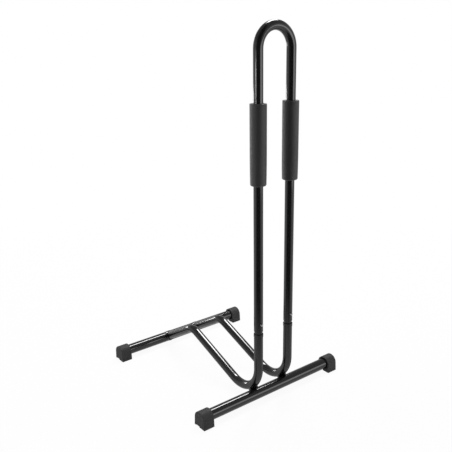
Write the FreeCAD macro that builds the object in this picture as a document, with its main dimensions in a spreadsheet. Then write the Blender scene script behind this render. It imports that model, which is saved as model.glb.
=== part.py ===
import FreeCAD, Part
import math
import os
import Sketcher

os.makedirs("parts", exist_ok=True)

doc = FreeCAD.newDocument("floor_bike_rack")
V = FreeCAD.Vector

# Sizes in millimetres, angles in degrees.
sizes = doc.addObject("Spreadsheet::Sheet", "sizes")
given = {
    # the two cross bars on the floor
    "bar_diameter": 26.9,
    "bar_wall": 1.5,
    "bar_axis_height": 20.6,
    "bar_spacing": 390.0,
    "front_bar_length": 420.0,
    "rear_bar_length": 403.0,
    # the moulded feet on the bars' ends
    "foot_length": 29.0,
    "foot_half_width": 19.25,
    "foot_arch_radius": 18.0,
    "foot_end_wall": 3.0,
    "foot_socket_clearance": 0.05,
    "foot_mouth_width": 1.5,
    "foot_mouth_depth": 3.0,
    "foot_channel_width": 13.0,
    "foot_channel_offset": 6.5,
    "foot_channel_height": 2.0,
    "foot_edge_chamfer": 0.8,
    # the tube of the side frames and of the hoop
    "tube_diameter": 21.3,
    "tube_wall": 1.5,
    "leg_offset": 46.0,
    "leg_forward": 10.0,
    "low_bend_radius": 68.5,
    "slope_angle": 20.8,
    "crest_radius": 40.0,
    "crest_reach": 257.0,
    "side_tube_top": 185.0,
    "mouth_bead_height": 8.0,
    "mouth_bead_proud": 0.6,
    # the welds
    "weld_gap": 0.5,
    "front_weld_leg": 3.2,
    "rear_weld_leg": 3.5,
    # the hoop and the sleeve that it stands on
    "hoop_gap": 6.0,
    "hoop_height": 876.0,
    "sleeve_clearance": 0.05,
    "sleeve_wall": 1.2,
    "sleeve_in_side_tube": 40.0,
    "sleeve_in_hoop": 48.0,
    # the snap buttons and their leaf springs
    "button_rise": 19.5,
    "button_diameter": 6.4,
    "button_clearance": 0.1,
    "button_proud": 4.0,
    "button_tip_chamfer": 1.2,
    "flange_diameter": 9.0,
    "flange_thickness": 1.0,
    "flange_setback": 0.15,
    "tail_diameter": 3.0,
    "leaf_thickness": 0.8,
    "leaf_width": 7.0,
    "leaf_gap": 0.05,
    "leaf_drop": 38.0,
    "leaf_rise": 5.5,
    "leaf_bend_radius": 1.4,
    "leaf_knee_radius": 6.0,
    # the foam grips
    "grip_bottom": 536.0,
    "grip_length": 174.0,
    "grip_diameter": 36.5,
    "grip_clearance": 0.15,
    "grip_edge_chamfer": 2.0,
}
for row, (alias, value) in enumerate(given.items(), start=1):
    sizes.set("A%d" % row, alias)
    sizes.set("B%d" % row, str(value))
    sizes.setAlias("B%d" % row, alias)
doc.recompute()


def size(alias):
    return float(sizes.get(alias))


# Expressions that more than one piece uses.
bar_radius = "sizes.bar_diameter / 2"
tube_radius = "sizes.tube_diameter / 2"
bore_radius = "(sizes.tube_diameter / 2 - sizes.tube_wall)"
# The grips reach further forward than the front feet, so the bars stand a little behind the middle.
set_back = "(sizes.leg_forward + sizes.grip_diameter / 2 - sizes.foot_half_width) / 2"
front_plane = "(%s - sizes.bar_spacing / 2)" % set_back
rear_plane = "(%s + sizes.bar_spacing / 2)" % set_back
leg_plane = "(%s - sizes.leg_forward)" % front_plane
contact_reach = "(sizes.low_bend_radius + (sizes.tube_diameter + sizes.bar_diameter) / 2 + sizes.weld_gap)"
low_bend_height = (
    "(sizes.bar_axis_height + sqrt(%s ^ 2 - (sizes.low_bend_radius - sizes.leg_forward) ^ 2))"
    % contact_reach
)
hoop_bottom = "(sizes.side_tube_top + sizes.hoop_gap)"
hoop_spring_line = "(sizes.hoop_height - sizes.tube_diameter / 2 - sizes.leg_offset)"
button_height = "(sizes.side_tube_top + sizes.hoop_gap + sizes.button_rise)"
grip_top = "(sizes.grip_bottom + sizes.grip_length)"
sleeve_radius = "(%s - sizes.sleeve_clearance)" % bore_radius
sleeve_bore_radius = "(%s - sizes.sleeve_wall)" % sleeve_radius
leaf_seat = "sqrt(%s ^ 2 - (sizes.leaf_width / 2) ^ 2)" % sleeve_bore_radius
flange_seat = (
    "(sqrt(%s ^ 2 - (sizes.flange_diameter / 2) ^ 2) - sizes.flange_setback)" % sleeve_bore_radius
)
flange_back = "(%s - sizes.flange_thickness)" % flange_seat


# ---------------------------------------------------------------- helpers

def bind(thing, links):
    for path, expression in links.items():
        thing.setExpression(path, expression)


def add_body(label, links):
    body = doc.addObject("PartDesign::Body", label)
    body.Label = label
    bind(body, links)
    return body


def add_sketch(body, name, plane, offset_links=None):
    sketch = body.newObject("Sketcher::SketchObject", name)
    datum = [item for item in body.Origin.OriginFeatures if item.Role == plane][0]
    sketch.AttachmentSupport = [(datum, "")]
    sketch.MapMode = "FlatFace"
    bind(sketch, offset_links or {})
    return sketch


def body_axis(body, role):
    return [item for item in body.Origin.OriginFeatures if item.Role == role][0]


def dimension(sketch, name, constraint, expression):
    index = sketch.addConstraint(constraint)
    sketch.renameConstraint(index, name)
    sketch.setExpression("Constraints." + name, expression)


def add_circle(sketch, name, radius, expression, centre=(0.0, 0.0)):
    shape = Part.Circle(V(centre[0], centre[1], 0), V(0, 0, 1), radius)
    index = sketch.addGeometry(shape, False)
    dimension(sketch, name, Sketcher.Constraint("Radius", index, radius), expression)
    return index


def centred_circle(sketch, name, radius, expression):
    index = add_circle(sketch, name, radius, expression)
    sketch.addConstraint(Sketcher.Constraint("Coincident", index, 3, -1, 1))
    return index


def place_point(sketch, name, point, x, y, across=None, up=None):
    geometry, vertex = point
    if across is None:
        sketch.addConstraint(Sketcher.Constraint("PointOnObject", geometry, vertex, -2))
    else:
        rule = Sketcher.Constraint("DistanceX", -1, 1, geometry, vertex, x)
        dimension(sketch, name + "_across", rule, across)
    if up is None:
        sketch.addConstraint(Sketcher.Constraint("PointOnObject", geometry, vertex, -1))
    else:
        rule = Sketcher.Constraint("DistanceY", -1, 1, geometry, vertex, y)
        dimension(sketch, name + "_up", rule, up)


def closed_outline(sketch, corners):
    # Straight-sided outline: each corner is (name, x, y, x expression, y expression).
    lines = []
    for index, corner in enumerate(corners):
        following = corners[(index + 1) % len(corners)]
        edge = Part.LineSegment(V(corner[1], corner[2], 0), V(following[1], following[2], 0))
        lines.append(sketch.addGeometry(edge, False))
    for index, line in enumerate(lines):
        following = lines[(index + 1) % len(lines)]
        sketch.addConstraint(Sketcher.Constraint("Coincident", line, 2, following, 1))
    for line, (name, x, y, across, up) in zip(lines, corners):
        place_point(sketch, name, (line, 1), x, y, across, up)
    return lines


def tangent_path(sketch, start, arcs, end):
    # Straight runs joined by arcs: arcs are (centre, radius, turn), turn +1 anticlockwise, and the
    # runs are the common tangents from one arc to the next. Returns line and arc indices in order.
    points = []
    here = start
    here_radius = 0.0
    stops = arcs + [(end, 0.0, 0)]
    turn_before = 0
    for centre, radius, turn in stops:
        dx = centre[0] - here[0]
        dy = centre[1] - here[1]
        span = math.hypot(dx, dy)
        signed_here = here_radius * turn_before
        signed_next = radius * turn
        lean = math.asin((signed_next - signed_here) / span)
        heading = math.atan2(dy, dx) - lean
        # the tangent leaves each circle at right angles to its own heading
        normal = (math.sin(heading), -math.cos(heading))
        leave = (here[0] + signed_here * normal[0], here[1] + signed_here * normal[1])
        meet = (centre[0] + signed_next * normal[0], centre[1] + signed_next * normal[1])
        points.append((leave, meet))
        here = centre
        here_radius = radius
        turn_before = turn
    indices = []
    for number, (leave, meet) in enumerate(points):
        run = Part.LineSegment(V(leave[0], leave[1], 0), V(meet[0], meet[1], 0))
        indices.append(sketch.addGeometry(run, False))
        if number < len(arcs):
            centre, radius, turn = arcs[number]
            following = points[number + 1][0]
            first = math.atan2(meet[1] - centre[1], meet[0] - centre[0])
            last = math.atan2(following[1] - centre[1], following[0] - centre[0])
            if turn < 0:
                first, last = last, first
            circle = Part.Circle(V(centre[0], centre[1], 0), V(0, 0, 1), radius)
            indices.append(sketch.addGeometry(Part.ArcOfCircle(circle, first, last), False))
    for number, (centre, radius, turn) in enumerate(arcs):
        before, arc, after = indices[2 * number:2 * number + 3]
        entry, leaving = (1, 2) if turn > 0 else (2, 1)
        sketch.addConstraint(Sketcher.Constraint("Tangent", before, 2, arc, entry))
        sketch.addConstraint(Sketcher.Constraint("Tangent", arc, leaving, after, 1))
    return indices


def add_feature(body, kind, name, sketch, **settings):
    feature = body.newObject("PartDesign::" + kind, name)
    feature.Profile = sketch
    for key, value in settings.items():
        setattr(feature, key, value)
    return feature


def sweep(body, name, profile, path):
    feature = body.newObject("PartDesign::AdditivePipe", name)
    feature.Profile = profile
    feature.Spine = path
    return feature


def ring_profile(body, name, offset_links):
    profile = add_sketch(body, name, "XY_Plane", offset_links)
    centred_circle(profile, "outer_radius", size("tube_diameter") / 2, tube_radius)
    inner = size("tube_diameter") / 2 - size("tube_wall")
    centred_circle(profile, "inner_radius", inner, bore_radius)
    return profile


def primitive(kind, name, links):
    thing = doc.addObject("Part::" + kind, name)
    bind(thing, links)
    return thing


# ------------------------------------------------------------ cross bars

def make_bar(label, length_alias, depth_expression):
    body = add_body(label, {
        "Placement.Base.y": depth_expression,
        "Placement.Base.z": "sizes.bar_axis_height",
    })
    ring = add_sketch(body, label + "_ring", "YZ_Plane")
    outer = size("bar_diameter") / 2
    centred_circle(ring, "outer_radius", outer, bar_radius)
    inner = outer - size("bar_wall")
    centred_circle(ring, "inner_radius", inner, bar_radius + " - sizes.bar_wall")
    pad = add_feature(body, "Pad", label + "_length", ring, SideType="Symmetric")
    pad.setExpression("Length", "sizes." + length_alias)
    return body


make_bar("front_bar", "front_bar_length", front_plane)
make_bar("rear_bar", "rear_bar_length", rear_plane)


# ------------------------------------------------------------------ feet

def make_foot(label, side, length_alias, depth_expression):
    # Built from its outer end face inwards; the right-hand feet are the same moulding turned round.
    sign = "-" if side < 0 else ""
    body = add_body(label, {
        "Placement.Base.x": "%s(sizes.%s / 2 + sizes.foot_end_wall)" % (sign, length_alias),
        "Placement.Base.y": depth_expression,
    })
    body.Placement.Rotation = FreeCAD.Rotation(V(0, 0, 1), 0 if side < 0 else 180)

    # arch over the bar, its sides spreading tangentially to the floor line
    half = size("foot_half_width")
    axis_height = size("bar_axis_height")
    arch_radius = size("foot_arch_radius")
    reach = math.hypot(half, axis_height)
    spread = math.atan2(-axis_height, half) + math.acos(arch_radius / reach)
    touch_across = arch_radius * math.cos(spread)
    touch_up = axis_height + arch_radius * math.sin(spread)
    outline = add_sketch(body, label + "_outline", "YZ_Plane")
    floor = outline.addGeometry(Part.LineSegment(V(-half, 0, 0), V(half, 0, 0)), False)
    front = outline.addGeometry(Part.LineSegment(V(half, 0, 0), V(touch_across, touch_up, 0)), False)
    circle = Part.Circle(V(0, axis_height, 0), V(0, 0, 1), arch_radius)
    arch = outline.addGeometry(Part.ArcOfCircle(circle, spread, math.pi - spread), False)
    back = outline.addGeometry(Part.LineSegment(V(-touch_across, touch_up, 0), V(-half, 0, 0)), False)
    outline.addConstraint(Sketcher.Constraint("Coincident", floor, 2, front, 1))
    outline.addConstraint(Sketcher.Constraint("Coincident", back, 2, floor, 1))
    outline.addConstraint(Sketcher.Constraint("Tangent", front, 2, arch, 1))
    outline.addConstraint(Sketcher.Constraint("Tangent", arch, 2, back, 1))
    place_point(outline, "back_corner", (floor, 1), -half, 0, "-sizes.foot_half_width", None)
    place_point(outline, "front_corner", (floor, 2), half, 0, "sizes.foot_half_width", None)
    place_point(outline, "arch_centre", (arch, 3), 0, axis_height, None, "sizes.bar_axis_height")
    rule = Sketcher.Constraint("Radius", arch, arch_radius)
    dimension(outline, "arch_radius", rule, "sizes.foot_arch_radius")
    block = add_feature(body, "Pad", label + "_block", outline)
    block.setExpression("Length", "sizes.foot_length")
    doc.recompute()

    # ease every edge of the two end faces except the floor line
    rims = []
    for number, edge in enumerate(block.Shape.Edges, start=1):
        box = edge.BoundBox
        if box.XLength < 0.01 and box.ZMax > 1.0:
            rims.append("Edge%d" % number)
    easing = body.newObject("PartDesign::Chamfer", label + "_easing")
    easing.Base = (block, rims)
    easing.setExpression("Size", "sizes.foot_edge_chamfer")

    far_face = {"AttachmentOffset.Base.z": "sizes.foot_length"}
    socket = add_sketch(body, label + "_socket_circle", "YZ_Plane", far_face)
    radius = size("bar_diameter") / 2 + size("foot_socket_clearance")
    reach = bar_radius + " + sizes.foot_socket_clearance"
    hole = add_circle(socket, "socket_radius", radius, reach, (0, axis_height))
    place_point(socket, "socket_centre", (hole, 3), 0, axis_height, None, "sizes.bar_axis_height")
    socket_cut = add_feature(body, "Pocket", label + "_socket", socket)
    socket_cut.setExpression("Length", "sizes.foot_length - sizes.foot_end_wall")

    mouth = add_sketch(body, label + "_mouth_circle", "YZ_Plane", far_face)
    radius = size("bar_diameter") / 2 + size("foot_mouth_width")
    reach = bar_radius + " + sizes.foot_mouth_width"
    hole = add_circle(mouth, "mouth_radius", radius, reach, (0, axis_height))
    place_point(mouth, "mouth_centre", (hole, 3), 0, axis_height, None, "sizes.bar_axis_height")
    mouth_cut = add_feature(body, "Pocket", label + "_mouth", mouth)
    mouth_cut.setExpression("Length", "sizes.foot_mouth_depth")

    # the channel under the foot lies behind the bar's line on every foot
    channel = add_sketch(body, label + "_channel_outline", "YZ_Plane", far_face)
    middle = -side * size("foot_channel_offset")
    low = middle - size("foot_channel_width") / 2
    high = middle + size("foot_channel_width") / 2
    depth = size("foot_channel_height")
    low_side = "%+d * sizes.foot_channel_offset - sizes.foot_channel_width / 2" % -side
    high_side = "%+d * sizes.foot_channel_offset + sizes.foot_channel_width / 2" % -side
    closed_outline(channel, [
        ("lower_first", low, -depth, low_side, "-sizes.foot_channel_height"),
        ("lower_second", high, -depth, high_side, "-sizes.foot_channel_height"),
        ("upper_second", high, depth, high_side, "sizes.foot_channel_height"),
        ("upper_first", low, depth, low_side, "sizes.foot_channel_height"),
    ])
    channel_cut = add_feature(body, "Pocket", label + "_channel", channel)
    channel_cut.setExpression("Length", "sizes.foot_length")
    return body


for side, hand in ((-1, "left"), (1, "right")):
    make_foot("front_%s_foot" % hand, side, "front_bar_length", front_plane)
    make_foot("rear_%s_foot" % hand, side, "rear_bar_length", rear_plane)


# ------------------------------------------------------------ side tubes

def make_side_tube(label, side):
    # The body stands on its leg's axis: the leg goes down, round the low bend behind the front
    # bar, up the slope, over the crest and down onto the rear bar, which its end is coped to fit.
    body = add_body(label, {
        "Placement.Base.x": "%+d * sizes.leg_offset" % side,
        "Placement.Base.y": leg_plane,
    })
    leg_forward = size("leg_forward")
    radius = size("low_bend_radius")
    reach = radius + (size("tube_diameter") + size("bar_diameter")) / 2 + size("weld_gap")
    bend_height = size("bar_axis_height") + math.sqrt(reach ** 2 - (radius - leg_forward) ** 2)
    slope = math.radians(size("slope_angle"))
    crest_radius = size("crest_radius")
    crest_across = leg_forward + size("crest_reach")
    # the slope touches the low bend from outside and the crest from inside
    run_across = crest_across - radius
    crest_height = bend_height + run_across * math.tan(slope)
    crest_height -= (radius + crest_radius) / math.cos(slope)
    bar_across = leg_forward + size("bar_spacing")
    bar_height = size("bar_axis_height")

    path = add_sketch(body, label + "_path", "YZ_Plane")
    indices = tangent_path(
        path,
        (0.0, size("side_tube_top")),
        [((radius, bend_height), radius, 1), ((crest_across, crest_height), crest_radius, -1)],
        (bar_across, bar_height),
    )
    leg, low_bend, slope_run, crest, descent = indices
    place_point(path, "leg_top", (leg, 1), 0, size("side_tube_top"), None, "sizes.side_tube_top")
    path.addConstraint(Sketcher.Constraint("Vertical", leg))
    dimension(path, "low_bend_radius", Sketcher.Constraint("Radius", low_bend, radius), "sizes.low_bend_radius")
    rule = Sketcher.Constraint("DistanceY", -1, 1, low_bend, 3, bend_height)
    dimension(path, "low_bend_height", rule, low_bend_height)
    dimension(path, "slope_angle", Sketcher.Constraint("Angle", slope_run, slope), "sizes.slope_angle * 1 deg")
    dimension(path, "crest_radius", Sketcher.Constraint("Radius", crest, crest_radius), "sizes.crest_radius")
    rule = Sketcher.Constraint("DistanceX", -1, 1, crest, 3, crest_across)
    dimension(path, "crest_across", rule, "sizes.leg_forward + sizes.crest_reach")
    place_point(path, "rear_end", (descent, 2), bar_across, bar_height,
                "sizes.leg_forward + sizes.bar_spacing", "sizes.bar_axis_height")

    section = ring_profile(body, label + "_section", {"AttachmentOffset.Base.z": "sizes.side_tube_top"})
    sweep(body, label + "_bent", section, path)

    cope = add_sketch(body, label + "_cope_circle", "YZ_Plane")
    bar = size("bar_diameter") / 2
    hole = add_circle(cope, "cope_radius", bar, bar_radius, (bar_across, bar_height))
    place_point(cope, "cope_centre", (hole, 3), bar_across, bar_height,
                "sizes.leg_forward + sizes.bar_spacing", "sizes.bar_axis_height")
    cope_cut = add_feature(body, "Pocket", label + "_cope", cope, SideType="Symmetric")
    cope_cut.setExpression("Length", "sizes.tube_diameter * 3")

    # the rounded bead at the leg's open mouth
    bead = add_sketch(body, label + "_bead_outline", "XZ_Plane")
    inner = size("tube_diameter") / 2 - size("tube_wall") / 2
    outer = size("tube_diameter") / 2 + size("mouth_bead_proud")
    top = size("side_tube_top")
    bottom = top - size("mouth_bead_height")
    proud = size("mouth_bead_proud")
    inner_reach = "sizes.tube_diameter / 2 - sizes.tube_wall / 2"
    outer_reach = "sizes.tube_diameter / 2 + sizes.mouth_bead_proud"
    low = "sizes.side_tube_top - sizes.mouth_bead_height"
    closed_outline(bead, [
        ("inner_low", inner, bottom, inner_reach, low),
        ("outer_low", outer - proud, bottom, "sizes.tube_diameter / 2", low),
        ("outer_side_low", outer, bottom + proud, outer_reach, low + " + sizes.mouth_bead_proud"),
        ("outer_side_high", outer, top - proud, outer_reach, "sizes.side_tube_top - sizes.mouth_bead_proud"),
        ("outer_high", outer - proud, top, "sizes.tube_diameter / 2", "sizes.side_tube_top"),
        ("inner_high", inner, top, inner_reach, "sizes.side_tube_top"),
    ])
    ring = add_feature(body, "Revolution", label + "_bead", bead)
    ring.ReferenceAxis = (body_axis(body, "Z_Axis"), [""])
    ring.Angle = 360
    return body


for side, hand in ((-1, "left"), (1, "right")):
    make_side_tube(hand + "_side_tube", side)


# ----------------------------------------------------------------- welds

def make_front_weld(label, side):
    # The bead of weld where the low bend rests against the bar: what lies near both of them.
    across = "%+d * sizes.leg_offset" % side

    def along_bar(name, radius):
        rod = primitive("Cylinder", name, {
            "Radius": radius,
            "Height": "sizes.tube_diameter * 2",
            "Placement.Base.x": across + " - sizes.tube_diameter",
            "Placement.Base.y": front_plane,
            "Placement.Base.z": "sizes.bar_axis_height",
        })
        rod.Placement.Rotation = FreeCAD.Rotation(V(0, 1, 0), 90)
        return rod

    def round_bend(name, radius):
        ring = primitive("Torus", name, {
            "Radius1": "sizes.low_bend_radius",
            "Radius2": radius,
            "Placement.Base.x": across,
            "Placement.Base.y": leg_plane + " + sizes.low_bend_radius",
            "Placement.Base.z": low_bend_height,
        })
        ring.Placement.Rotation = FreeCAD.Rotation(V(0, 1, 0), 90)
        return ring

    near_both = doc.addObject("Part::Common", label + "_near_both")
    near_both.Base = along_bar(label + "_round_bar", bar_radius + " + sizes.front_weld_leg")
    near_both.Tool = round_bend(label + "_round_bend", tube_radius + " + sizes.front_weld_leg")
    off_bar = doc.addObject("Part::Cut", label + "_off_bar")
    off_bar.Base = near_both
    off_bar.Tool = along_bar(label + "_bar", bar_radius)
    weld = doc.addObject("Part::Cut", label)
    weld.Label = label
    weld.Base = off_bar
    weld.Tool = round_bend(label + "_bend", tube_radius)
    return weld


def make_rear_weld(label, side):
    # The fillet of weld round the coped end: what lies near both the bar and the tube.
    across = "%+d * sizes.leg_offset" % side
    crest_height = (
        "(%s + (sizes.leg_forward + sizes.crest_reach - sizes.low_bend_radius) * tan(sizes.slope_angle * 1 deg)"
        " - (sizes.low_bend_radius + sizes.crest_radius) / cos(sizes.slope_angle * 1 deg))" % low_bend_height
    )
    drop = "(%s - sizes.bar_axis_height)" % crest_height
    run = "(sizes.bar_spacing - sizes.crest_reach)"
    span = "sqrt(%s ^ 2 + %s ^ 2)" % (drop, run)
    # direction from the bar's axis back up the tube, measured from upright towards the front
    lean = "(atan(%s / %s) - asin(sizes.crest_radius / %s))" % (run, drop, span)

    def along_bar(name, radius):
        rod = primitive("Cylinder", name, {
            "Radius": radius,
            "Height": "sizes.tube_diameter * 2",
            "Placement.Base.x": across + " - sizes.tube_diameter",
            "Placement.Base.y": rear_plane,
            "Placement.Base.z": "sizes.bar_axis_height",
        })
        rod.Placement.Rotation = FreeCAD.Rotation(V(0, 1, 0), 90)
        return rod

    def along_tube(name, radius):
        rod = primitive("Cylinder", name, {
            "Radius": radius,
            "Height": "sizes.bar_diameter",
            "Placement.Base.x": across,
            "Placement.Base.y": rear_plane,
            "Placement.Base.z": "sizes.bar_axis_height",
            "Placement.Rotation.Angle": lean,
        })
        rod.Placement.Rotation.Axis = V(1, 0, 0)
        return rod

    near_both = doc.addObject("Part::Common", label + "_near_both")
    near_both.Base = along_bar(label + "_round_bar", bar_radius + " + sizes.rear_weld_leg")
    near_both.Tool = along_tube(label + "_round_tube", tube_radius + " + sizes.rear_weld_leg")
    off_bar = doc.addObject("Part::Cut", label + "_off_bar")
    off_bar.Base = near_both
    off_bar.Tool = along_bar(label + "_bar", bar_radius)
    weld = doc.addObject("Part::Cut", label)
    weld.Label = label
    weld.Base = off_bar
    weld.Tool = along_tube(label + "_tube", tube_radius)
    return weld


for side, hand in ((-1, "left"), (1, "right")):
    make_front_weld("front_weld_" + hand, side)
    make_rear_weld("rear_weld_" + hand, side)


# ------------------------------------------------------ coupling sleeves

def make_sleeve(label, side):
    body = add_body(label, {
        "Placement.Base.x": "%+d * sizes.leg_offset" % side,
        "Placement.Base.y": leg_plane,
        "Placement.Base.z": "sizes.side_tube_top - sizes.sleeve_in_side_tube",
    })
    ring = add_sketch(body, label + "_ring", "XY_Plane")
    outer = size("tube_diameter") / 2 - size("tube_wall") - size("sleeve_clearance")
    centred_circle(ring, "outer_radius", outer, sleeve_radius)
    centred_circle(ring, "inner_radius", outer - size("sleeve_wall"), sleeve_bore_radius)
    pad = add_feature(body, "Pad", label + "_length", ring)
    pad.setExpression("Length", "sizes.sleeve_in_side_tube + sizes.hoop_gap + sizes.sleeve_in_hoop")
    button_up = "sizes.hoop_gap + sizes.button_rise + sizes.sleeve_in_side_tube"
    up = size("hoop_gap") + size("button_rise") + size("sleeve_in_side_tube")
    spot = add_sketch(body, label + "_button_circle", "XZ_Plane")
    radius = size("button_diameter") / 2 + size("button_clearance")
    hole = add_circle(spot, "hole_radius", radius, "sizes.button_diameter / 2 + sizes.button_clearance", (0, up))
    place_point(spot, "hole_centre", (hole, 3), 0, up, None, button_up)
    cut = add_feature(body, "Pocket", label + "_button_hole", spot)
    cut.setExpression("Length", "sizes.tube_diameter")
    cut.Reversed = True
    return body


for side, hand in ((-1, "left"), (1, "right")):
    make_sleeve(hand + "_coupling_sleeve", side)


# ------------------------------------------------------------------ hoop

hoop = add_body("hoop", {"Placement.Base.y": leg_plane})
half_span = size("leg_offset")
hoop_foot = size("side_tube_top") + size("hoop_gap")
spring_line = size("hoop_height") - size("tube_diameter") / 2 - half_span
hoop_path = add_sketch(hoop, "hoop_path", "XZ_Plane")
left_leg = hoop_path.addGeometry(Part.LineSegment(V(-half_span, hoop_foot, 0), V(-half_span, spring_line, 0)), False)
crown_circle = Part.Circle(V(0, spring_line, 0), V(0, 0, 1), half_span)
crown = hoop_path.addGeometry(Part.ArcOfCircle(crown_circle, 0, math.pi), False)
right_leg = hoop_path.addGeometry(Part.LineSegment(V(half_span, spring_line, 0), V(half_span, hoop_foot, 0)), False)
hoop_path.addConstraint(Sketcher.Constraint("Tangent", left_leg, 2, crown, 2))
hoop_path.addConstraint(Sketcher.Constraint("Tangent", crown, 1, right_leg, 1))
hoop_path.addConstraint(Sketcher.Constraint("Vertical", left_leg))
dimension(hoop_path, "crown_radius", Sketcher.Constraint("Radius", crown, half_span), "sizes.leg_offset")
place_point(hoop_path, "crown_centre", (crown, 3), 0, spring_line, None, hoop_spring_line)
rule = Sketcher.Constraint("DistanceY", -1, 1, left_leg, 1, hoop_foot)
dimension(hoop_path, "left_foot", rule, hoop_bottom)
rule = Sketcher.Constraint("DistanceY", -1, 1, right_leg, 2, hoop_foot)
dimension(hoop_path, "right_foot", rule, hoop_bottom)
hoop_section = ring_profile(hoop, "hoop_section", {
    "AttachmentOffset.Base.x": "-sizes.leg_offset",
    "AttachmentOffset.Base.z": hoop_bottom,
})
sweep(hoop, "hoop_bent", hoop_section, hoop_path)
button_spots = add_sketch(hoop, "hoop_button_circles", "XZ_Plane")
button_hole = size("button_diameter") / 2 + size("button_clearance")
for side, hand in ((-1, "left"), (1, "right")):
    middle = (side * half_span, hoop_foot + size("button_rise"))
    hole = add_circle(button_spots, hand + "_radius", button_hole,
                      "sizes.button_diameter / 2 + sizes.button_clearance", middle)
    place_point(button_spots, hand, (hole, 3), middle[0], middle[1],
                "%+d * sizes.leg_offset" % side, button_height)
button_cut = add_feature(hoop, "Pocket", "hoop_button_holes", button_spots)
button_cut.setExpression("Length", "sizes.tube_diameter")
button_cut.Reversed = True


# ----------------------------------------------------------- foam grips

def make_grip(label, side):
    body = add_body(label, {
        "Placement.Base.x": "%+d * sizes.leg_offset" % side,
        "Placement.Base.y": leg_plane,
    })
    outline = add_sketch(body, label + "_outline", "XZ_Plane")
    inner = size("tube_diameter") / 2 + size("grip_clearance")
    outer = size("grip_diameter") / 2
    bottom = size("grip_bottom")
    top = bottom + size("grip_length")
    inner_reach = tube_radius + " + sizes.grip_clearance"
    closed_outline(outline, [
        ("inner_low", inner, bottom, inner_reach, "sizes.grip_bottom"),
        ("outer_low", outer, bottom, "sizes.grip_diameter / 2", "sizes.grip_bottom"),
        ("outer_high", outer, top, "sizes.grip_diameter / 2", grip_top),
        ("inner_high", inner, top, inner_reach, grip_top),
    ])
    turned = add_feature(body, "Revolution", label + "_turned", outline)
    turned.ReferenceAxis = (body_axis(body, "Z_Axis"), [""])
    turned.Angle = 360
    doc.recompute()
    rims = []
    for number, edge in enumerate(turned.Shape.Edges, start=1):
        box = edge.BoundBox
        if box.ZLength < 0.01 and box.XLength > 2 * inner + 1:
            rims.append("Edge%d" % number)
    easing = body.newObject("PartDesign::Chamfer", label + "_easing")
    easing.Base = (turned, rims)
    easing.setExpression("Size", "sizes.grip_edge_chamfer")
    return body


for side, hand in ((-1, "left"), (1, "right")):
    make_grip(hand + "_grip", side)


# ---------------------------------------------------------- snap buttons

def make_button(label, side):
    # Turned about the line through the tube's axis and the button; its tip points to the front.
    body = add_body(label, {
        "Placement.Base.x": "%+d * sizes.leg_offset" % side,
        "Placement.Base.y": leg_plane,
        "Placement.Base.z": button_height,
    })
    bore = size("tube_diameter") / 2 - size("tube_wall") - size("sleeve_clearance") - size("sleeve_wall")
    face = math.sqrt(bore ** 2 - (size("flange_diameter") / 2) ** 2) - size("flange_setback")
    back = face - size("flange_thickness")
    tail = back - size("leaf_gap") - size("leaf_thickness") - size("leaf_thickness") / 2
    tip = size("tube_diameter") / 2 + size("button_proud")
    pin = size("button_diameter") / 2
    flange = size("flange_diameter") / 2
    stem = size("tail_diameter") / 2
    tail_reach = "%s - sizes.leaf_gap - sizes.leaf_thickness * 1.5" % flange_back
    tip_reach = tube_radius + " + sizes.button_proud"
    outline = add_sketch(body, label + "_outline", "YZ_Plane")
    closed_outline(outline, [
        ("tail_axis", -tail, 0, "-(%s)" % tail_reach, None),
        ("tip_axis", -tip, 0, "-(%s)" % tip_reach, None),
        ("tip_rim", -tip, pin, "-(%s)" % tip_reach, "sizes.button_diameter / 2"),
        ("pin_root", -face, pin, "-" + flange_seat, "sizes.button_diameter / 2"),
        ("flange_front", -face, flange, "-" + flange_seat, "sizes.flange_diameter / 2"),
        ("flange_back", -back, flange, "-" + flange_back, "sizes.flange_diameter / 2"),
        ("tail_root", -back, stem, "-" + flange_back, "sizes.tail_diameter / 2"),
        ("tail_rim", -tail, stem, "-(%s)" % tail_reach, "sizes.tail_diameter / 2"),
    ])
    turned = add_feature(body, "Revolution", label + "_turned", outline)
    turned.ReferenceAxis = (body_axis(body, "Y_Axis"), [""])
    turned.Angle = 360
    doc.recompute()
    rims = []
    for number, edge in enumerate(turned.Shape.Edges, start=1):
        box = edge.BoundBox
        if box.YLength < 0.01 and abs(box.YMin + tip) < 0.05:
            rims.append("Edge%d" % number)
    easing = body.newObject("PartDesign::Chamfer", label + "_easing")
    easing.Base = (turned, rims)
    easing.setExpression("Size", "sizes.button_tip_chamfer")
    return body


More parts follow.
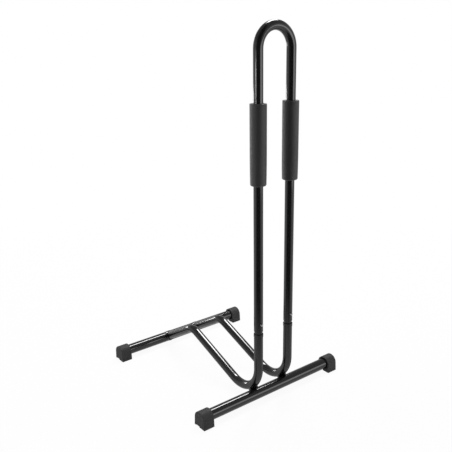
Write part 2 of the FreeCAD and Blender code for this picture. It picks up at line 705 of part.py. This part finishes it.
def make_leaf_spring(label, side):
    # One bent strip: the rear leaf lies on the sleeve's wall, the front leaf carries the button.
    body = add_body(label, {
        "Placement.Base.x": "%+d * sizes.leg_offset" % side,
        "Placement.Base.y": leg_plane,
        "Placement.Base.z": button_height,
    })
    bore = size("tube_diameter") / 2 - size("tube_wall") - size("sleeve_clearance") - size("sleeve_wall")
    half_leaf = size("leaf_thickness") / 2
    rear = math.sqrt(bore ** 2 - (size("leaf_width") / 2) ** 2) - size("leaf_gap") - half_leaf
    face = math.sqrt(bore ** 2 - (size("flange_diameter") / 2) ** 2) - size("flange_setback")
    front = face - size("flange_thickness") - size("leaf_gap") - half_leaf
    rise = size("leaf_rise")
    bend = size("leaf_bend_radius")
    knee = size("leaf_knee_radius")
    low = size("leaf_drop") - bend
    knee_down = size("leaf_rise") + 2.0
    path = add_sketch(body, label + "_path", "YZ_Plane")
    indices = tangent_path(
        path,
        (rear, rise),
        [((rear - bend, -low), bend, -1), ((knee - front, -knee_down), knee, -1)],
        (-front, rise),
    )
    rear_leaf, turn, lean_leaf, bow, front_leaf = indices
    rear_reach = "%s - sizes.leaf_gap - sizes.leaf_thickness / 2" % leaf_seat
    front_reach = "%s - sizes.leaf_gap - sizes.leaf_thickness / 2" % flange_back
    place_point(path, "rear_top", (rear_leaf, 1), rear, rise, rear_reach, "sizes.leaf_rise")
    path.addConstraint(Sketcher.Constraint("Vertical", rear_leaf))
    dimension(path, "turn_radius", Sketcher.Constraint("Radius", turn, bend), "sizes.leaf_bend_radius")
    rule = Sketcher.Constraint("DistanceY", -1, 1, turn, 3, -low)
    dimension(path, "turn_up", rule, "-(sizes.leaf_drop - sizes.leaf_bend_radius)")
    dimension(path, "knee_radius", Sketcher.Constraint("Radius", bow, knee), "sizes.leaf_knee_radius")
    rule = Sketcher.Constraint("DistanceY", -1, 1, bow, 3, -knee_down)
    dimension(path, "knee_up", rule, "-(sizes.leaf_rise + 2)")
    path.addConstraint(Sketcher.Constraint("Vertical", front_leaf))
    place_point(path, "front_top", (front_leaf, 2), -front, rise, "-(%s)" % front_reach, "sizes.leaf_rise")

    wide = size("leaf_width") / 2
    section = add_sketch(body, label + "_section", "XY_Plane", {"AttachmentOffset.Base.z": "sizes.leaf_rise"})
    outer_face = "%s - sizes.leaf_gap" % leaf_seat
    inner_face = outer_face + " - sizes.leaf_thickness"
    closed_outline(section, [
        ("inner_left", -wide, rear - half_leaf, "-sizes.leaf_width / 2", inner_face),
        ("inner_right", wide, rear - half_leaf, "sizes.leaf_width / 2", inner_face),
        ("outer_right", wide, rear + half_leaf, "sizes.leaf_width / 2", outer_face),
        ("outer_left", -wide, rear + half_leaf, "-sizes.leaf_width / 2", outer_face),
    ])
    sweep(body, label + "_bent", section, path)
    spot = add_sketch(body, label + "_tail_circle", "XZ_Plane")
    radius = size("tail_diameter") / 2 + size("button_clearance")
    centred_circle(spot, "tail_hole", radius, "sizes.tail_diameter / 2 + sizes.button_clearance")
    cut = add_feature(body, "Pocket", label + "_tail_hole", spot)
    cut.setExpression("Length", "sizes.tube_diameter")
    cut.Reversed = True
    return body


for side, hand in ((-1, "left"), (1, "right")):
    make_button(hand + "_snap_button", side)
    make_leaf_spring(hand + "_button_spring", side)


# ---------------------------------------------------------------- export

nodes = [
    "front_bar", "rear_bar",
    "left_side_tube", "right_side_tube",
    "front_weld_left", "front_weld_right", "rear_weld_left", "rear_weld_right",
    "front_left_foot", "front_right_foot", "rear_left_foot", "rear_right_foot",
    "left_coupling_sleeve", "right_coupling_sleeve",
    "hoop", "left_grip", "right_grip",
    "left_snap_button", "right_snap_button",
    "left_button_spring", "right_button_spring",
]

doc.recompute()
for item in doc.Objects:
    if "Invalid" in item.State or "Error" in item.State:
        raise RuntimeError("%s did not rebuild: %s" % (item.Name, item.State))
for node in nodes:
    piece = doc.getObjectsByLabel(node)[0]
    shape = piece.Shape
    if shape.isNull() or not shape.isValid() or len(shape.Solids) != 1:
        raise RuntimeError("%s is not one sound solid" % node)
    shape.exportStep("parts/%s.step" % node)
    box = shape.BoundBox
    print("%-22s volume %9.1f  x %7.2f %7.2f  y %7.2f %7.2f  z %7.2f %7.2f" % (
        node, shape.Volume, box.XMin, box.XMax, box.YMin, box.YMax, box.ZMin, box.ZMax))
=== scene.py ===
import math
import bmesh
import bpy
from mathutils import Matrix, Vector


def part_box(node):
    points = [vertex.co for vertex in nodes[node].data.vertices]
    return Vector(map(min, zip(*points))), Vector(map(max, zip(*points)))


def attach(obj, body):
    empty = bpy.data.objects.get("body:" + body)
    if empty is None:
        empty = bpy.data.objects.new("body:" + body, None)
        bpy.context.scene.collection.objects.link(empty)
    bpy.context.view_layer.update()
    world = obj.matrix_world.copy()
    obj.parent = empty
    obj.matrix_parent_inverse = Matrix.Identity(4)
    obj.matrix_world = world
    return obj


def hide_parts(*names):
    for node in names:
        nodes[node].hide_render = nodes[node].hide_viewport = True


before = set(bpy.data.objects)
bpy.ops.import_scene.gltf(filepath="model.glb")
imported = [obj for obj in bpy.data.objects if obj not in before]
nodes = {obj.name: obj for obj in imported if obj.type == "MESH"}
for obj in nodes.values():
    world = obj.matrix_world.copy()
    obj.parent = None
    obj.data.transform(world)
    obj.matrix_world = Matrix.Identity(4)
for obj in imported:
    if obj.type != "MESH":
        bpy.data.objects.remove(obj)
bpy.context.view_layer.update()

print("frame loaded:", len(nodes), "nodes")


# where the photograph was taken from, in metres and degrees
photoCamera = {
    "place": (-0.90184, -1.20553, 0.85506),
    "yaw": 37.385,                  # turned from +Y towards +X
    "pitch": 17.27,                 # looking down
    "roll": 0.973,
    "focalPixels": 629.95,
    "frameWidth": 452,              # pixels too
    "shiftPixels": (-0.5, 0.5),     # the fit counted from pixel centres
    "sensorWidth": 36.0,            # millimetres
}


def addCamera(given):
    yaw, pitch, roll = (math.radians(given[key]) for key in ("yaw", "pitch", "roll"))
    ahead = Vector((math.sin(yaw) * math.cos(pitch), math.cos(yaw) * math.cos(pitch), -math.sin(pitch)))
    level = Vector((math.cos(yaw), -math.sin(yaw), 0.0))
    below = ahead.cross(level)
    right = math.cos(roll) * level + math.sin(roll) * below
    down = -math.sin(roll) * level + math.cos(roll) * below
    data = bpy.data.cameras.new("photoCamera")
    data.sensor_width = given["sensorWidth"]
    data.lens = given["focalPixels"] / given["frameWidth"] * given["sensorWidth"]
    data.shift_x, data.shift_y = (pixels / given["frameWidth"] for pixels in given["shiftPixels"])
    camera = bpy.data.objects.new("photoCamera", data)
    turn = Matrix((right, -down, -ahead)).transposed().to_4x4()
    camera.matrix_world = Matrix.Translation(given["place"]) @ turn
    bpy.context.scene.collection.objects.link(camera)
    bpy.context.scene.camera = camera


addCamera(photoCamera)
print("camera placed")


def setInputs(node, values):
    for socket, value in values.items():
        node.inputs[socket].default_value = value


def newMaterial(name):
    material = bpy.data.materials.new(name)
    material.use_nodes = True
    tree = material.node_tree
    tree.nodes.clear()
    output = tree.nodes.new("ShaderNodeOutputMaterial")
    shader = tree.nodes.new("ShaderNodeBsdfPrincipled")
    tree.links.new(shader.outputs["BSDF"], output.inputs["Surface"])
    return material, tree, shader


def newGroup(name, inputs, outputs):
    group = bpy.data.node_groups.new(name, "ShaderNodeTree")
    for way, sockets in (("INPUT", inputs), ("OUTPUT", outputs)):
        for socket, kind in sockets.items():
            group.interface.new_socket(name=socket, in_out=way, socket_type="NodeSocket" + kind)
    return group, group.nodes.new("NodeGroupInput"), group.nodes.new("NodeGroupOutput")


def placeGroup(tree, group, values):
    node = tree.nodes.new("ShaderNodeGroup")
    node.node_tree = group
    setInputs(node, values)
    place = tree.nodes.new("ShaderNodeTexCoord")
    tree.links.new(place.outputs["Object"], node.inputs["Place"])
    return node.outputs


mottleNoise = {
    "detail": 6.0,
    "roughness": 0.6,
    "from": 0.3,    # where the noise counts as smoothest
    "to": 0.7,      # and where as roughest
}


def buildMottleGroup(given):
    # one soft noise: a tint between two colours, and a roughness that drifts with it
    group, start, end = newGroup(
        "surfaceMottle",
        {
            "Place": "Vector", "Scale": "Float", "Deep": "Color", "Pale": "Color",
            "Smoothest": "Float", "Roughest": "Float",
        },
        {"Colour": "Color", "Roughness": "Float"},
    )
    link = group.links.new
    noise = group.nodes.new("ShaderNodeTexNoise")
    setInputs(noise, {"Detail": given["detail"], "Roughness": given["roughness"]})
    link(start.outputs["Place"], noise.inputs["Vector"])
    link(start.outputs["Scale"], noise.inputs["Scale"])
    tint = group.nodes.new("ShaderNodeMix")
    tint.data_type = "RGBA"
    link(noise.outputs["Fac"], tint.inputs["Factor"])
    link(start.outputs["Deep"], tint.inputs["A"])
    link(start.outputs["Pale"], tint.inputs["B"])
    link(tint.outputs["Result"], end.inputs["Colour"])
    rough = group.nodes.new("ShaderNodeMapRange")
    setInputs(rough, {"From Min": given["from"], "From Max": given["to"]})
    link(noise.outputs["Fac"], rough.inputs["Value"])
    link(start.outputs["Smoothest"], rough.inputs["To Min"])
    link(start.outputs["Roughest"], rough.inputs["To Max"])
    link(rough.outputs["Result"], end.inputs["Roughness"])
    return group


grainNoise = {"detail": 2.0}


def buildGrainGroup(given):
    # the height of a fine grain: a coarse and a fine noise, blended
    group, start, end = newGroup(
        "surfaceGrain",
        {"Place": "Vector", "Coarse": "Float", "Fine": "Float", "Fine Share": "Float"},
        {"Height": "Float"},
    )
    link = group.links.new
    blend = group.nodes.new("ShaderNodeMix")
    link(start.outputs["Fine Share"], blend.inputs["Factor"])
    for scale, side in (("Coarse", "A"), ("Fine", "B")):
        noise = group.nodes.new("ShaderNodeTexNoise")
        noise.inputs["Detail"].default_value = given["detail"]
        link(start.outputs["Place"], noise.inputs["Vector"])
        link(start.outputs[scale], noise.inputs["Scale"])
        link(noise.outputs["Fac"], blend.inputs[side])
    link(blend.outputs["Result"], end.inputs["Height"])
    return group


mottleGroup = buildMottleGroup(mottleNoise)
grainGroup = buildGrainGroup(grainNoise)


def makeFinish(name, given):
    # mottled colour and roughness, the shader's own plain values, and a bump of open cells or of grain
    material, tree, shader = newMaterial(name)
    mottle = placeGroup(tree, mottleGroup, {
        "Scale": given["mottleScale"], "Deep": given["deep"], "Pale": given["pale"],
        "Smoothest": given["smoothest"], "Roughest": given["roughest"],
    })
    tree.links.new(mottle["Colour"], shader.inputs["Base Color"])
    tree.links.new(mottle["Roughness"], shader.inputs["Roughness"])
    setInputs(shader, given["shader"])
    if "cellScale" in given:
        place = tree.nodes.new("ShaderNodeTexCoord")
        cells = tree.nodes.new("ShaderNodeTexVoronoi")
        cells.inputs["Scale"].default_value = given["cellScale"]
        tree.links.new(place.outputs["Object"], cells.inputs["Vector"])
        height = cells.outputs["Distance"]
    else:
        grain = placeGroup(tree, grainGroup, {
            "Coarse": given["coarseGrain"], "Fine": given["fineGrain"], "Fine Share": given["fineShare"],
        })
        height = grain["Height"]
    bump = tree.nodes.new("ShaderNodeBump")
    setInputs(bump, {"Strength": given["bumpStrength"], "Distance": given["bumpDepth"]})
    tree.links.new(height, bump.inputs["Height"])
    tree.links.new(bump.outputs["Normal"], shader.inputs["Normal"])
    return material


# gloss black paint with a faint orange peel
blackPaint = {
    "deep": (0.0060, 0.0060, 0.0065, 1),
    "pale": (0.0100, 0.0100, 0.0108, 1),
    "mottleScale": 45.0,
    "smoothest": 0.08,
    "roughest": 0.13,
    "shader": {"Specular IOR Level": 0.8},
    "coarseGrain": 180.0,
    "fineGrain": 600.0,
    "fineShare": 0.25,
    "bumpStrength": 0.02,
    "bumpDepth": 0.0002,    # metres, as for the others
}

# the same paint over the ripples of a weld
weldPaint = dict(blackPaint, roughest=0.3, coarseGrain=420.0, fineGrain=1500.0, bumpStrength=0.5)

# the feet's moulded plastic, matt and finely grained
footPlastic = {
    "deep": (0.024, 0.024, 0.026, 1),
    "pale": (0.042, 0.042, 0.045, 1),
    "mottleScale": 260.0,
    "smoothest": 0.55,
    "roughest": 0.72,
    "shader": {"Specular IOR Level": 0.5},
    "coarseGrain": 900.0,
    "fineGrain": 2600.0,
    "fineShare": 0.5,
    "bumpStrength": 0.5,
    "bumpDepth": 0.0004,
}

# the buttons' bare zinc
zincButton = {
    "deep": (0.62, 0.63, 0.64, 1),
    "pale": (0.78, 0.79, 0.80, 1),
    "mottleScale": 900.0,
    "smoothest": 0.16,
    "roughest": 0.3,
    "shader": {"Metallic": 1.0},
    "coarseGrain": 1500.0,
    "fineGrain": 4000.0,
    "fineShare": 0.5,
    "bumpStrength": 0.1,
    "bumpDepth": 0.0001,
}

# the leaf springs' bare steel, and the coupling sleeves' dark coating, which isn't metal to the eye
springSteel = dict(
    zincButton, deep=(0.35, 0.35, 0.36, 1), pale=(0.50, 0.50, 0.52, 1), smoothest=0.28, roughest=0.42,
)
sleeveCoat = dict(
    zincButton, deep=(0.020, 0.020, 0.021, 1), pale=(0.034, 0.034, 0.036, 1), smoothest=0.3, roughest=0.4,
    shader={"Metallic": 0.0},
)

finishes = (
    ("glossBlackPaint", blackPaint, ("front_bar", "rear_bar", "left_side_tube", "right_side_tube", "hoop")),
    ("paintedWeld", weldPaint, ("front_weld_left", "front_weld_right", "rear_weld_left", "rear_weld_right")),
    ("mouldedFootPlastic", footPlastic,
     ("front_left_foot", "front_right_foot", "rear_left_foot", "rear_right_foot")),
    ("darkSleeve", sleeveCoat, ("left_coupling_sleeve", "right_coupling_sleeve")),
    ("zincButton", zincButton, ("left_snap_button", "right_snap_button")),
    ("springSteel", springSteel, ("left_button_spring", "right_button_spring")),
)
for name, given, covered in finishes:
    material = makeFinish(name, given)
    for node in covered:
        for slot in nodes[node].material_slots:
            slot.material = material
    print(name, "on", len(covered), "nodes")


# the grips' foam, with open cells
gripFoam = {
    "deep": (0.012, 0.012, 0.013, 1),
    "pale": (0.026, 0.026, 0.028, 1),
    "mottleScale": 700.0,
    "smoothest": 0.42,
    "roughest": 0.52,
    "shader": {"Specular IOR Level": 0.8, "Sheen Weight": 0.15, "Sheen Roughness": 0.6},
    "cellScale": 1400.0,
    "bumpStrength": 0.55,
    "bumpDepth": 0.0005,
}

gripShape = {
    "boreGap": 0.00015,     # the foam's bore over the tube
    "rings": 60,
    "sides": 72,
    "lowerRound": 0.0030,   # the lower end is moulded, the upper one cut
    "upperRound": 0.0011,
    "roundSteps": 8,
    "taper": 0.0006,        # off the radius at the lower end
    "taperShare": 0.35,     # the share of the length that tapers
    "mergeDistance": 0.00002,
    "sharpAngle": 50.0,
}


def gripRadius(share, outer, given):
    # full width over most of the length, drawn in a little towards the lower end
    ease = max(0.0, 1.0 - share / given["taperShare"])
    return outer - given["taper"] * ease * ease


def gripOutline(length, outer, bore, given):
    # (height, radius): round the lower edge, up the outside, round the upper edge and in to the bore
    lower, upper = given["lowerRound"], given["upperRound"]
    lowest, highest = gripRadius(0.0, outer, given), gripRadius(1.0, outer, given)
    turns = [math.pi / 2 * step / given["roundSteps"] for step in range(given["roundSteps"] + 1)]
    outline = [(lower - lower * math.cos(turn), lowest - lower + lower * math.sin(turn)) for turn in turns]
    for ring in range(1, given["rings"]):
        share = ring / given["rings"]
        outline.append((lower + (length - lower - upper) * share, gripRadius(share, outer, given)))
    for turn in turns:
        outline.append((length - upper + upper * math.sin(turn), highest - upper + upper * math.cos(turn)))
    outline.append((length, bore))
    return outline


def extrudeRing(mesh, ring):
    grown = bmesh.ops.extrude_edge_only(mesh, edges=ring)["geom"]
    verts = [item for item in grown if isinstance(item, bmesh.types.BMVert)]
    edges = [item for item in grown if isinstance(item, bmesh.types.BMEdge)]
    return verts, edges


def makeGrip(node, body, material, given):
    low, high = (Vector(corner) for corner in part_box(node))
    axis = (low + high) / 2
    length = high.z - low.z
    outer = (high.x - low.x) / 2
    hoopLow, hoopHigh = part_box("hoop")
    bore = (hoopHigh[1] - hoopLow[1]) / 2 + given["boreGap"]

    mesh = bmesh.new()
    bmesh.ops.create_circle(mesh, cap_ends=False, segments=given["sides"], radius=bore)
    ring = mesh.edges[:]
    lastHeight, lastRadius = 0.0, bore
    for height, radius in gripOutline(length, outer, bore, given):
        verts, ring = extrudeRing(mesh, ring)
        swell = radius / lastRadius
        bmesh.ops.scale(mesh, verts=verts, vec=(swell, swell, 1.0))
        bmesh.ops.translate(mesh, verts=verts, vec=(0.0, 0.0, height - lastHeight))
        lastHeight, lastRadius = height, radius
    verts = extrudeRing(mesh, ring)[0]      # the bore, back down to where the outline started
    bmesh.ops.translate(mesh, verts=verts, vec=(0.0, 0.0, -length))
    bmesh.ops.remove_doubles(mesh, verts=mesh.verts[:], dist=given["mergeDistance"])
    bmesh.ops.recalc_face_normals(mesh, faces=mesh.faces[:])
    bmesh.ops.translate(mesh, verts=mesh.verts[:], vec=(axis.x, axis.y, low.z))

    data = bpy.data.meshes.new(node + "Foam")
    mesh.to_mesh(data)
    mesh.free()
    data.polygons.foreach_set("use_smooth", [True] * len(data.polygons))
    data.set_sharp_from_angle(angle=math.radians(given["sharpAngle"]))
    data.materials.append(material)
    piece = bpy.data.objects.new(node + "Foam", data)
    bpy.context.scene.collection.objects.link(piece)
    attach(piece, body)
    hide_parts(node)


foamMaterial = makeFinish("gripFoam", gripFoam)
for node in ("left_grip", "right_grip"):
    makeGrip(node, "frame", foamMaterial, gripShape)
print("foam grips made")


# a box lies level and is turned in plan, or is aimed at a point; an unseen one doesn't show in gloss
softboxes = {
    "overhead": {"place": (0.88, 0.54, 2.1), "size": (1.34, 0.42), "turn": 25.0, "power": 30.0},
    "rightBox": {"place": (1.05, -2.1, 0.45), "size": (1.5, 0.9), "aim": (0.0, 0.0, 0.4), "power": 6.5},
    "leftCard": {"place": (-2.0, -0.10, 0.60), "size": (0.2, 0.22), "aim": (0.0, -0.2, 0.7), "power": 2.4},
    "backStrip": {"place": (-0.62, 2.75, 0.24), "size": (0.4, 0.46), "aim": (0.0, 0.0, 0.24), "power": 10.0},
    "fill": {"place": (-0.6, 0.2, 2.4), "size": (1.6, 1.6), "turn": 0.0, "power": 26.0, "unseen": True},
}


def addSoftbox(name, given):
    data = bpy.data.lights.new(name, "AREA")
    data.shape = "RECTANGLE"
    data.size, data.size_y = given["size"]
    data.energy = given["power"]
    lamp = bpy.data.objects.new(name, data)
    place = Vector(given["place"])
    if "aim" in given:
        turn = (Vector(given["aim"]) - place).to_track_quat("-Z", "Y").to_matrix().to_4x4()
    else:
        turn = Matrix.Rotation(math.radians(given["turn"]), 4, "Z")
    lamp.matrix_world = Matrix.Translation(place) @ turn
    lamp.visible_glossy = not given.get("unseen", False)
    bpy.context.scene.collection.objects.link(lamp)


for name, given in softboxes.items():
    addSoftbox(name, given)
print("softboxes hung:", len(softboxes))


def addRamp(tree, value, given, smooth=True):
    # carries the span "from" of a value over to the span "to"
    ramp = tree.nodes.new("ShaderNodeMapRange")
    if smooth:
        ramp.interpolation_type = "SMOOTHSTEP"
    ramp.inputs["From Min"].default_value, ramp.inputs["From Max"].default_value = given["from"]
    ramp.inputs["To Min"].default_value, ramp.inputs["To Max"].default_value = given["to"]
    tree.links.new(value, ramp.inputs["Value"])
    return ramp.outputs["Result"]


def addMath(tree, operation, first, second):
    node = tree.nodes.new("ShaderNodeMath")
    node.operation = operation
    tree.links.new(first, node.inputs[0])
    tree.links.new(second, node.inputs[1])
    return node.outputs["Value"]


def addVectorMath(tree, operation, vector, fixed=None):
    node = tree.nodes.new("ShaderNodeVectorMath")
    node.operation = operation
    tree.links.new(vector, node.inputs[0])
    if fixed:
        node.inputs[1].default_value = fixed
    return node.outputs


def mixShaders(tree, share, first, second):
    mix = tree.nodes.new("ShaderNodeMixShader")
    tree.links.new(share, mix.inputs["Fac"])
    tree.links.new(first, mix.inputs[1])
    tree.links.new(second, mix.inputs[2])
    return mix.outputs["Shader"]


# the room round the object, in shares of plain white
roomShade = {
    "backdropWay": (0.607, 0.794, 0.0),     # level, from the camera towards the backdrop
    "facing": {"from": (-0.90, -0.45), "to": (0.04, 0.65)},     # dark behind the camera, pale elsewhere
    "overhead": {"from": (0.25, 0.55), "to": (1.0, 0.5)},       # share of that left higher up
}


def addRoomShade(tree, direction, given):
    # how bright the room is in one direction, whatever its height
    level = addVectorMath(tree, "MULTIPLY", direction, (1.0, 1.0, 0.0))["Vector"]
    unit = addVectorMath(tree, "NORMALIZE", level)["Vector"]
    facing = addVectorMath(tree, "DOT_PRODUCT", unit, given["backdropWay"])["Value"]
    return addRamp(tree, facing, given["facing"])


paleFloor = {
    "size": 60.0,
    "colour": (0.86, 0.86, 0.86, 1),
    "roughness": 0.9,
    "glow": {"from": (0.5, 1.6), "to": (0.94, 1.0)},        # share of plain white, by distance
    "paperEnd": {"from": (0.3, 0.85), "to": (0.0, 1.0)},    # where the paper gives way to the room
    "paperShade": 0.55,
}


def addFloor(given, room):
    mesh = bmesh.new()
    bmesh.ops.create_grid(mesh, x_segments=1, y_segments=1, size=given["size"] / 2)
    data = bpy.data.meshes.new("studioFloor")
    mesh.to_mesh(data)
    mesh.free()
    floor = bpy.data.objects.new("studioFloor", data)
    bpy.context.scene.collection.objects.link(floor)
    material, tree, shader = newMaterial("paleFloor")
    setInputs(shader, {"Base Color": given["colour"], "Roughness": given["roughness"]})
    place = tree.nodes.new("ShaderNodeTexCoord").outputs["Object"]
    ray = tree.nodes.new("ShaderNodeLightPath").outputs
    reach = addVectorMath(tree, "LENGTH", place)["Value"]

    # the camera sees it almost plain white, with a trace of its shadows near the object
    glow = addRamp(tree, reach, given["glow"], smooth=False)
    share = addMath(tree, "MULTIPLY", ray["Is Camera Ray"], glow)
    white = tree.nodes.new("ShaderNodeEmission")
    seen = mixShaders(tree, share, shader.outputs["BSDF"], white.outputs["Emission"])

    # gloss and glass see pale paper round the object, then the room
    shade = tree.nodes.new("ShaderNodeMix")
    shade.inputs["A"].default_value = given["paperShade"]
    tree.links.new(addRamp(tree, reach, given["paperEnd"]), shade.inputs["Factor"])
    tree.links.new(addRoomShade(tree, place, room), shade.inputs["B"])
    mirrored = tree.nodes.new("ShaderNodeEmission")
    tree.links.new(shade.outputs["Result"], mirrored.inputs["Strength"])
    mirrorRay = addMath(tree, "MAXIMUM", ray["Is Glossy Ray"], ray["Is Transmission Ray"])
    whole = mixShaders(tree, mirrorRay, seen, mirrored.outputs["Emission"])
    tree.links.new(whole, tree.get_output_node("ALL").inputs["Surface"])
    data.materials.append(material)


addFloor(paleFloor, roomShade)


def addWorld(room):
    # plain white to the camera, the room to every other ray
    world = bpy.data.worlds.new("studioWorld")
    world.use_nodes = True
    tree = world.node_tree
    tree.nodes.clear()
    output = tree.nodes.new("ShaderNodeOutputWorld")
    ray = tree.nodes.new("ShaderNodeLightPath").outputs
    direction = tree.nodes.new("ShaderNodeTexCoord").outputs["Generated"]
    parts = tree.nodes.new("ShaderNodeSeparateXYZ")
    tree.links.new(direction, parts.inputs["Vector"])
    overhead = addRamp(tree, parts.outputs["Z"], room["overhead"])
    shaded = tree.nodes.new("ShaderNodeBackground")
    strength = addMath(tree, "MULTIPLY", addRoomShade(tree, direction, room), overhead)
    tree.links.new(strength, shaded.inputs["Strength"])
    backdrop = tree.nodes.new("ShaderNodeBackground")
    backdrop.inputs["Color"].default_value = (1, 1, 1, 1)
    whole = mixShaders(
        tree, ray["Is Camera Ray"], shaded.outputs["Background"], backdrop.outputs["Background"]
    )
    tree.links.new(whole, output.inputs["Surface"])
    bpy.context.scene.world = world


addWorld(roomShade)
bpy.context.scene.view_settings.view_transform = "Standard"
print("studio ready")
